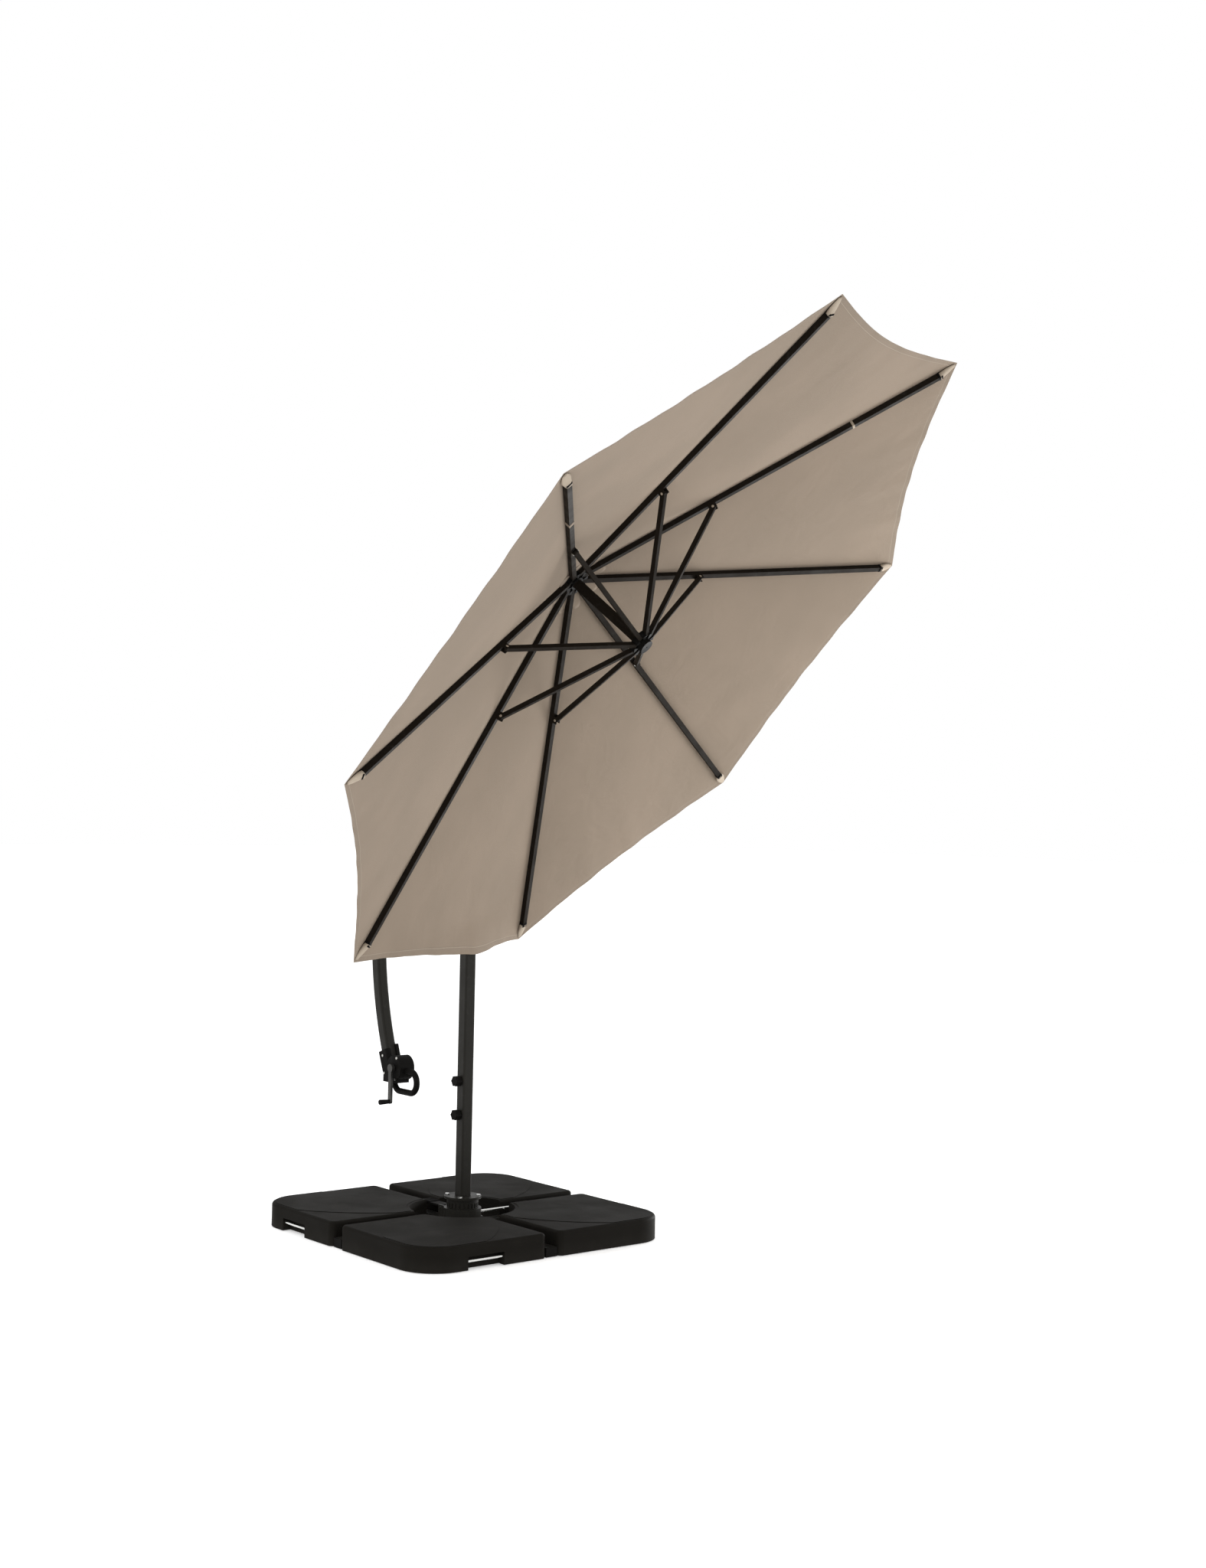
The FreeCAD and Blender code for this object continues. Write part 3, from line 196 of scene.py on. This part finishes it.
def solid_finish(name, colour, roughness, metallic=0.0, grain=0.0001, grain_scale=900.0, wear=0.25,
                 shine=0.5):
    """Coated metal or moulded plastic: fine grain, faint mottling and paler rubbed patches."""
    n = Nodes(name)
    mottle = n.noise(14.0)
    grit = n.noise(grain_scale, 2.0)
    pale = rgb(*(c + 0.10 * wear for c in colour))
    rubbed = n.ramp(n.noise(55.0, 8.0), 0.52, 0.80)
    base = n.mix(n.math("MULTIPLY", rubbed, wear), rgb(*colour), pale)
    base = n.mix(n.ramp(mottle, 0.35, 0.7, 0.0, 0.35), base, rgb(*(c * 0.75 for c in colour)))
    n.feed(n.shader, "Base Color", base)
    n.feed(n.shader, "Metallic", metallic)
    n.feed(n.shader, "Specular IOR Level", shine)
    n.feed(n.shader, "Roughness", n.ramp(mottle, 0.25, 0.75, roughness - 0.07, roughness + 0.07))
    n.feed(n.shader, "Normal", n.bump(grit, grain, 0.5))
    return n.material


def plate_finish():
    """Dark moulded plastic with a leathery grain and a little dust towards the ground."""
    n = Nodes("plate_plastic")
    where = n.add("ShaderNodeTexCoord").outputs["Object"]
    split = n.tree.nodes.new("ShaderNodeSeparateXYZ")
    n.feed(split, 0, where)
    cell = n.add("ShaderNodeTexVoronoi", Scale=420.0)
    n.feed(cell, "Vector", where)
    dust = n.math("MULTIPLY", n.ramp(split.outputs["Z"], 0.0, 0.05, 0.30, 0.0), n.noise(30.0, 6.0))
    scuffs = n.math("MULTIPLY", n.ramp(n.noise(9.0, 8.0), 0.50, 0.75), 0.35)
    base = n.mix(scuffs, rgb(0.0085, 0.0076, 0.0062), rgb(0.0165, 0.0150, 0.0125))
    base = n.mix(dust, base, rgb(0.035, 0.032, 0.028))
    n.feed(n.shader, "Base Color", base)
    n.feed(n.shader, "Specular IOR Level", 0.035)
    n.feed(n.shader, "Roughness", n.ramp(n.noise(6.0), 0.3, 0.7, 0.58, 0.70))
    n.feed(n.shader, "Normal", n.bump(cell.outputs["Distance"], 0.0004, 0.35))
    return n.material


def fabric_finish(name, share=1.0, other=(0.20, 0.16, 0.12)):
    """Woven polyester: a plain weave, soft mottling, a doubled hem and its row of stitches. The UV
    map holds metres: U along the hem, V in from the hem. The rest of share is another colour."""
    n = Nodes(name)
    split = n.tree.nodes.new("ShaderNodeSeparateXYZ")
    n.feed(split, 0, n.add("ShaderNodeUVMap").outputs["UV"])
    along, inward = split.outputs["X"], split.outputs["Y"]
    threads = []
    for value in (along, inward):
        threads.append(n.math("SINE", n.math("MULTIPLY", value, 2 * math.pi / THREAD_PITCH)))
    weave = n.math("MULTIPLY", threads[0], threads[1])
    slub = n.noise(160.0, 6.0)
    drift = n.noise(2.2, 3.0)
    base = n.mix(n.ramp(drift, 0.35, 0.65), rgb(0.220, 0.174, 0.130), rgb(0.244, 0.192, 0.144))
    base = n.mix(n.ramp(slub, 0.35, 0.75, 0.0, 0.30), base, rgb(0.225, 0.183, 0.143))
    base = n.mix(n.ramp(weave, -1.0, 1.0, 0.16, 0.0), base, rgb(0.155, 0.125, 0.098))
    hem = n.math("LESS_THAN", inward, HEM_WIDTH)
    base = n.mix(n.math("MULTIPLY", hem, 0.22), base, rgb(0.185, 0.152, 0.120))
    row = n.math("ABSOLUTE", n.math("SUBTRACT", inward, HEM_WIDTH - 0.003))
    beat = n.math("SINE", n.math("MULTIPLY", along, 2 * math.pi / STITCH_PITCH))
    dash = n.math("GREATER_THAN", beat, -0.3)
    stitch = n.math("MULTIPLY", n.math("LESS_THAN", row, 0.0007), dash)
    base = n.mix(stitch, base, rgb(0.36, 0.31, 0.25))
    if share != 1.0:
        base = n.mix(1.0 - share, base, rgb(*other))
    n.feed(n.shader, "Base Color", base)
    n.feed(n.shader, "Roughness", 0.9)
    n.feed(n.shader, "Specular IOR Level", 0.08)
    n.feed(n.shader, "Sheen Weight", 0.05)
    n.feed(n.shader, "Sheen Roughness", 0.5)
    creases = n.add("ShaderNodeTexNoise", Scale=7.0, Detail=5.0)
    n.feed(creases, "Distortion", 0.6)
    n.feed(creases, "Vector", n.add("ShaderNodeTexCoord").outputs["Object"])
    normal = n.bump(creases.outputs["Fac"], 0.012, 0.35)
    normal = n.bump(n.math("ADD", weave, slub), 0.0003, 0.5, normal)
    n.feed(n.shader, "Normal", n.bump(hem, 0.0008, 0.6, normal))
    return n.material


coat = solid_finish("powder_coat", (0.016, 0.015, 0.0125), 0.45, 0.0, 0.00012, shine=0.10)
rib_coat = solid_finish("rib_coat", (0.0125, 0.0098, 0.0072), 0.60, 0.0, 0.0001, wear=0.3, shine=0.03)
plastic = solid_finish("moulded_plastic", (0.0065, 0.006, 0.0055), 0.56, 0.0, 0.00015, 600.0, shine=0.03)
bright = solid_finish("bright_metal", (0.72, 0.72, 0.70), 0.20, 1.0, 0.00003)
zinc = solid_finish("zinc_plate", (0.50, 0.49, 0.46), 0.36, 1.0, 0.00006)
arm_grey = solid_finish("crank_metal", (0.045, 0.043, 0.040), 0.38, 0.7, 0.00006)
concrete = solid_finish("concrete", (0.36, 0.35, 0.33), 0.9, 0.0, 0.0008, 220.0)
cord_weave = solid_finish("braided_cord", (0.03, 0.03, 0.03), 0.8, 0.0, 0.0006, 500.0)
plates = plate_finish()
cloth = fabric_finish("canopy_cloth")
tan_cloth = fabric_finish("tan_cloth", 0.72)
pale_cloth = fabric_finish("pale_cloth", 0.55, (0.50, 0.43, 0.34))

ribs_and_struts = [f"{kind}_{n + 1}" for kind in ("rib", "strut") for n in range(RIBS)]
FINISHES = (
    (plates, [f"base_plate_{side}" for side in ("front", "right", "rear", "left")]),
    (coat, ["cross_bar_a", "cross_bar_b", "swivel_housing", "mast_foot", "mast_lower_tube",
            "mast_upper_tube", "mast_head", "boom_tube", "tip_knuckle", "hanger"]),
    (rib_coat, ["runner_tube"] + ribs_and_struts),
    (plastic, ["cross_bar_caps", "foot_pedal", "mast_knob_lower", "mast_knob_upper", "head_lock_knob",
               "housing_left", "housing_right", "crown", "runner", "crank_peg", "loop_handle",
               "winch_drum"]),
    (bright, ["plate_handles", "swivel_lock_rod", "mast_fasteners", "base_fasteners"]),
    (zinc, ["housing_screws", "tilt_retainer"]),
    (arm_grey, ["crank_arm"]),
    (concrete, ["plate_cores"]),
    (cord_weave, ["lift_cord"]),
)
for material, names in FINISHES:
    for name in names:
        mesh = nodes[name].data
        mesh.materials.clear()
        mesh.materials.append(material)


def rivet_heads():
    """The ends of the struts' rivets are bare metal."""
    for n in range(RIBS):
        strut = nodes[f"strut_{n + 1}"]
        inward = rib_turn(n).inverted() @ strut.matrix_world
        reach = max(abs((inward @ vertex.co).y) for vertex in strut.data.vertices)
        strut.data.materials.append(bright)
        for face in strut.data.polygons:
            if abs((inward @ face.center).y) > reach - 0.0008:
                face.material_index = 1


rivet_heads()


# ---- canopy cloth --------------------------------------------------------------------------------
ALONG, ACROSS = 60, 49  # grid of one panel: from the opening to the hem, and from gore to gore


def hem_radius(share, sag):
    """Distance of the hem from the shaft at a share of the way from a rib to the middle of a gore."""
    chord = CORNER_RADIUS * math.cos(HALF_GORE) / math.cos(HALF_GORE * (1 - share))
    return chord - sag * (1 - (1 - share) ** 2)


def cloth_height(radius, share):
    """Height of the taut, flat gore above the rib pivots."""
    over_rib = radius * math.cos(HALF_GORE * (1 - share)) / math.cos(HALF_GORE)
    return FABRIC_RISE - (over_rib - PIVOT_RING) * RIB_SLOPE


MAST_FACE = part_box("mast_upper_tube")[1].x


def mast_press(angle, radius):
    """How far the cloth is pushed down the shaft where it is drawn over the mast's near corner."""
    height = cloth_height(radius, (MAST_ANGLE - math.pi) / HALF_GORE)
    there = Vector((radius * math.cos(MAST_ANGLE), radius * math.sin(MAST_ANGLE), height))
    needed = max(0.0, (MAST_FACE + MAST_CLEARANCE - (CANOPY @ there).x) / -CANOPY.col[2].x)
    aside = angle - MAST_ANGLE
    spread = math.radians(14 if aside > 0 else 8)
    return needed * math.exp(-((aside / spread) ** 2))


def flutter(angle, inward, share):
    """Small folds that run in from the corners and die out towards the shaft and the ribs."""
    fold = math.sin(angle * 37 + 1.3) * 0.55 + math.sin(angle * 71 + 4.0) * 0.45
    near_hem = math.exp(-inward / 0.16)
    return 0.0018 * fold * near_hem * min(1.0, 3 * share)


def panel_grid(n, sag):
    """Points of the cloth over one rib, with their place along and in from the hem."""
    points, places = [], []
    for i in range(ALONG + 1):
        out = i / ALONG
        for j in range(ACROSS):
            side = 2 * j / (ACROSS - 1) - 1
            share = abs(side)
            angle = side * HALF_GORE
            rim = hem_radius(share, HEM_SAGS[n if side > 0 else n - 1])
            radius = OPENING_RADIUS + (rim - OPENING_RADIUS) * out
            inward = rim - radius
            dip = sag * math.sin(math.pi * out) ** 0.8 * (1 - (1 - share) ** 2)
            dip += flutter(angle + n * 2 * HALF_GORE, inward, share) if sag else 0.0
            z = cloth_height(radius, share) - dip
            point = Vector((radius * math.cos(angle), radius * math.sin(angle), z))
            if sag:
                point.z -= mast_press(angle + n * 2 * HALF_GORE, radius)
            points.append(point)
            places.append((rim * angle, inward))
    return points, places


def grid_faces():
    faces = []
    for i in range(ALONG):
        for j in range(ACROSS - 1):
            a = i * ACROSS + j
            faces.append((a, a + 1, a + 1 + ACROSS, a + ACROSS))
    return faces


def area_of(points, faces):
    total = 0.0
    for face in faces:
        a, b, c, d = (points[k] for k in face)
        total += ((c - a).cross(d - b)).length / 2
    return total


def thicken(points, faces, rim):
    """A thin closed sheet from a grid: the grid, its copy above, and a wall round the rim."""
    count = len(points)
    above = [point + Vector((0, 0, FABRIC_THICK)) for point in points]
    walls = [(a, b, b + count, a + count) for a, b in zip(rim, rim[1:] + rim[:1])]
    tops = [tuple(k + count for k in face) for face in faces]
    bottoms = [tuple(reversed(face)) for face in faces]
    return points + above, bottoms + tops + walls


def grid_rim():
    """The grid's border, once round."""
    last = ALONG * ACROSS
    rim = list(range(ACROSS))
    rim += [i * ACROSS + ACROSS - 1 for i in range(1, ALONG + 1)]
    rim += [last + j for j in range(ACROSS - 2, -1, -1)]
    rim += [i * ACROSS for i in range(ALONG - 1, 0, -1)]
    return rim


def canopy_cloth():
    grid = grid_faces()
    for n in range(RIBS):
        area = area_of(panel_grid(n, 0.0)[0], grid)
        points, places = panel_grid(n, GORE_SAG)
        shape, faces = thicken(points, grid, grid_rim())
        obj = piece(f"cloth_{n + 1}", shape, faces, cloth, rib_turn(n))
        layer = obj.data.uv_layers.new(name="metres")
        for loop in obj.data.loops:
            layer.data[loop.index].uv = places[loop.vertex_index % len(places)]
        for face in obj.data.polygons[2 * len(grid):]:
            face.use_smooth = False
        rim = set(grid_rim()) | {k + len(places) for k in grid_rim()}
        for edge in obj.data.edges:
            edge.use_edge_sharp = set(edge.vertices) <= rim
        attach(obj, f"rib_{n + 1}")
        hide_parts(f"canopy_panel_{n + 1}")
        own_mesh(obj)


def rib_pockets():
    """At each corner: a sewn pocket on the rib's end, a rounded end cap and a seam along the rib."""
    for n in range(RIBS):
        place = rib_frame(n)
        start, end = RIB_LENGTH - 0.012, RIB_LENGTH + 0.006
        w, h = RIB_HALF_WIDTH + 0.0025, RIB_HALF_DEPTH + 0.0010
        body = f"rib_{n + 1}"
        cap = box_piece(f"end_cap_{n + 1}", (start, -w, -h - 0.001), (end, w, h), plastic, place,
                        0.005)
        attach(cap, body)
        pocket = corner_pocket(n, place)
        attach(pocket, body)
        seam = rib_seam(n)
        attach(seam, body)


def corner_pocket(n, place):
    """A gathered tongue of cloth that wraps the end cap and runs to the corner."""
    points, faces = [], []
    rings, around = 10, 16
    for i in range(rings + 1):
        t = i / rings
        x = RIB_LENGTH - 0.003 + 0.060 * t
        wide = 0.0135 + 0.006 * math.sin(math.pi * t) - 0.006 * t
        deep = 0.0115 - 0.0095 * t ** 0.7
        for j in range(around):
            a = 2 * math.pi * j / around
            ruffle = 1 + 0.06 * math.sin(5 * a + n) * (1 - 0.5 * t)
            points.append((x, wide * ruffle * math.cos(a), 0.0098 - deep + deep * ruffle * math.sin(a)))
    for i in range(rings):
        for j in range(around):
            a, b = i * around + j, i * around + (j + 1) % around
            faces.append((a, b, b + around, a + around))
    faces.append(tuple(range(around))[::-1])
    faces.append(tuple(rings * around + j for j in range(around)))
    return piece(f"corner_pocket_{n + 1}", points, faces, pale_cloth, place)


def rib_seam(n):
    """The flat felled seam that shows beside the rib, on the underside of the cloth."""
    half, thick = 0.0125, 0.0006
    points, faces = [], []
    steps = 24
    inner, outer = OPENING_RADIUS + 0.05, CORNER_RADIUS - 0.03
    for i in range(steps + 1):
        radius = inner + (outer - inner) * i / steps
        z = FABRIC_RISE - (radius - PIVOT_RING) * RIB_SLOPE
        for y, drop in ((-half, 0.0006), (-half, 0.0006 + thick), (half, 0.0006 + thick), (half, 0.0006)):
            points.append((radius, y, z - drop))
    for i in range(steps):
        for j in range(4):
            a, b = i * 4 + j, i * 4 + (j + 1) % 4
            faces.append((a, a + 4, b + 4, b))
    faces += [(0, 1, 2, 3), tuple(steps * 4 + j for j in (3, 2, 1, 0))]
    return piece(f"seam_{n + 1}", points, faces, tan_cloth, rib_turn(n), smooth=False)


def crown_patches():
    """Tan petals under the cloth round the crown, one in each gore."""
    steps, rows = 10, 5
    inner, outer, rounding = 0.056, 0.118, 0.030
    under = 0.0045
    for n in range(RIBS):
        place = rib_turn(n + 0.5)
        points, faces = [], []
        for i in range(rows + 1):
            t = i / rows
            for j in range(steps + 1):
                side = 2 * j / steps - 1
                reach = inner + (outer - rounding * side * side - inner) * t
                angle = side * HALF_GORE * (0.78 - 0.12 * t)
                x, y = reach * math.cos(angle), reach * math.sin(angle)
                z = FABRIC_RISE - (x / math.cos(HALF_GORE) - PIVOT_RING) * RIB_SLOPE - under
                points.append((x, y, z))
        for i in range(rows):
            for j in range(steps):
                a = i * (steps + 1) + j
                faces.append((a, a + 1, a + steps + 2, a + steps + 1))
        petal = piece(f"crown_petal_{n + 1}", points, faces, tan_cloth, place)
        thick = petal.modifiers.new("cloth", "SOLIDIFY")
        thick.thickness = 0.0012
        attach(petal, f"rib_{n + 1}")


def ties():
    """A closing strap sewn to one rib and a pale tie on another."""
    for n, at, wide, material in ((7, 0.82, 0.026, tan_cloth), (1, 0.99, 0.008, pale_cloth)):
        w, h = RIB_HALF_WIDTH + 0.0012, RIB_HALF_DEPTH + 0.0012
        band = box_piece(f"tie_{n + 1}", (at, -w, -h), (at + wide, w, h), material, rib_frame(n))
        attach(band, f"rib_{n + 1}")


canopy_cloth()
rib_pockets()
crown_patches()
ties()


# ---- studio --------------------------------------------------------------------------------------
def floor():
    size, drop = 60.0, 0.002
    n = Nodes("studio_floor")
    n.feed(n.shader, "Base Color", rgb(0.93, 0.93, 0.93))
    n.feed(n.shader, "Roughness", n.ramp(n.noise(3.0), 0.3, 0.7, 0.85, 0.95))
    n.feed(n.shader, "Emission Color", rgb(1, 1, 1))
    n.feed(n.shader, "Emission Strength", 0.35)
    points = [(-size, -size, -drop), (size, -size, -drop), (size, size, -drop), (-size, size, -drop)]
    obj = piece("studio_floor", points, [(0, 1, 2, 3)], n.material)


def area_light(name, at, target, size, watts):
    data = bpy.data.lights.new(name, "AREA")
    data.energy = watts
    data.size = size
    light = bpy.data.objects.new(name, data)
    bpy.context.scene.collection.objects.link(light)
    light.location = at
    light.rotation_euler = (Vector(target) - Vector(at)).to_track_quat("-Z", "Y").to_euler()


def studio():
    scene = bpy.context.scene
    scene.view_settings.view_transform = "Standard"
    world = bpy.data.worlds.new("studio")
    world.use_nodes = True
    world.node_tree.nodes["Background"].inputs["Color"].default_value = rgb(1, 1, 1)
    world.node_tree.nodes["Background"].inputs["Strength"].default_value = 1.0
    scene.world = world
    middle = (0.4, 0.0, 1.3)
    area_light("key", (1.2, -4.2, 4.6), middle, 3.0, 60)
    area_light("bounce", (0.3, 3.6, 0.10), (0.8, -0.1, 2.3), 3.0, 272)
    floor()


def camera():
    """Seen from the -Y side and a little in front, from about eye height."""
    azimuth, elevation, roll = (math.radians(a) for a in (50.583, -0.870, -1.163))
    back = Vector((math.sin(azimuth) * math.cos(elevation), -math.cos(azimuth) * math.cos(elevation),
                   math.sin(elevation)))
    right = (-back).cross(Vector((0, 0, 1))).normalized()
    up = back.cross(right)
    rolled_right = right * math.cos(roll) - up * math.sin(roll)
    rolled_up = right * math.sin(roll) + up * math.cos(roll)
    turned = Matrix((rolled_right, rolled_up, back)).transposed()
    data = bpy.data.cameras.new("camera")
    data.lens = 46.266
    data.sensor_width = 36.0
    data.clip_end = 200.0
    obj = bpy.data.objects.new("camera", data)
    bpy.context.scene.collection.objects.link(obj)
    obj.matrix_world = Matrix.Translation((5.624, -4.039, 1.430)) @ turned.to_4x4()
    bpy.context.scene.camera = obj


studio()
camera()
